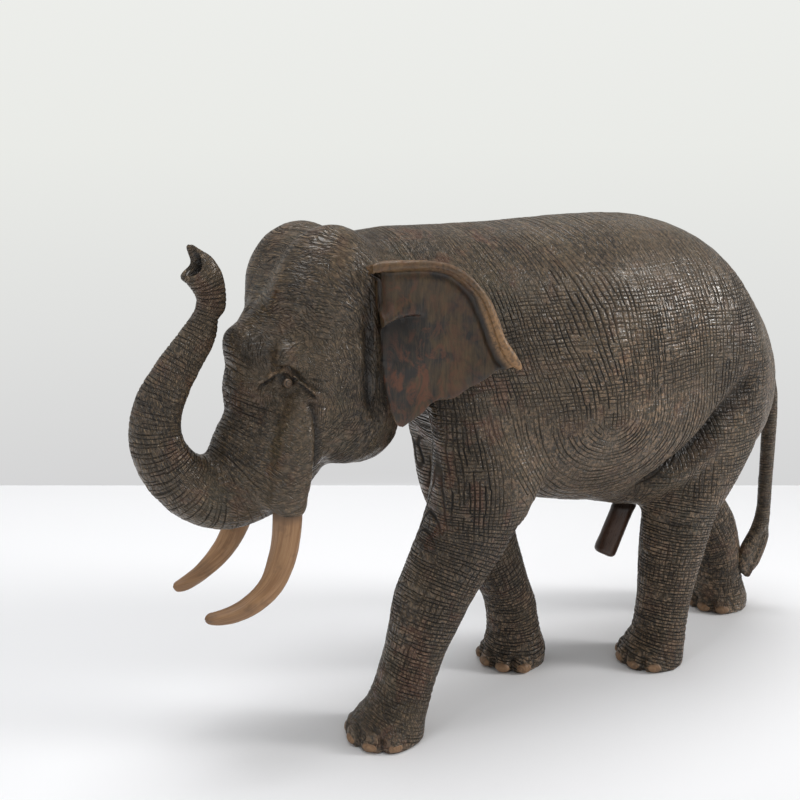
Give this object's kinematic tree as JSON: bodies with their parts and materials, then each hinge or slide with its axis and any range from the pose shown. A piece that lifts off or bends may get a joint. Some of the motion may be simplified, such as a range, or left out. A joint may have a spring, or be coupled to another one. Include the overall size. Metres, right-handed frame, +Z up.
{
  "type": "carved wooden elephant figurine",
  "caption": "Striding elephant figurine in dark stained wood with a raised curled trunk, let-in tusks and ears, gouged wrinkles and flat soles to stand on.",
  "frame": {"origin": "on the floor, at the middle of the bounding box", "axes": "+Z up, +X towards the head, +Y towards the elephant's left side"},
  "size_m": [0.4744, 0.144, 0.3002],
  "materials": {
    "carved_body": "dark brown-black stain over gouged wood, worn to tan on the ridges",
    "ear": "smooth, polished dark reddish-brown wood with a worn tan rim",
    "tusk": "satin tan wood with fine pores",
    "tail": "dark brown-black stain over ringed wood",
    "peg": "smooth dark reddish-brown wood",
    "eye": "polished black wood",
    "nail": "pale tan wood, rubbed"
  },
  "bodies": {
    "root": {"body": "carved_body", "ear_left": "ear", "ear_right": "ear", "tusk_left": "tusk", "tusk_right": "tusk", "tail": "tail", "belly_peg": "peg", "eye_left": "eye", "eye_right": "eye", "nail_front_left_1": "nail", "nail_front_left_2": "nail", "nail_front_left_3": "nail", "nail_front_left_4": "nail", "nail_front_left_5": "nail", "nail_front_right_1": "nail", "nail_front_right_2": "nail", "nail_front_right_3": "nail", "nail_front_right_4": "nail", "nail_front_right_5": "nail", "nail_rear_left_1": "nail", "nail_rear_left_2": "nail", "nail_rear_left_3": "nail", "nail_rear_left_4": "nail", "nail_rear_right_1": "nail", "nail_rear_right_2": "nail", "nail_rear_right_3": "nail", "nail_rear_right_4": "nail"}
  },
  "joints": []
}
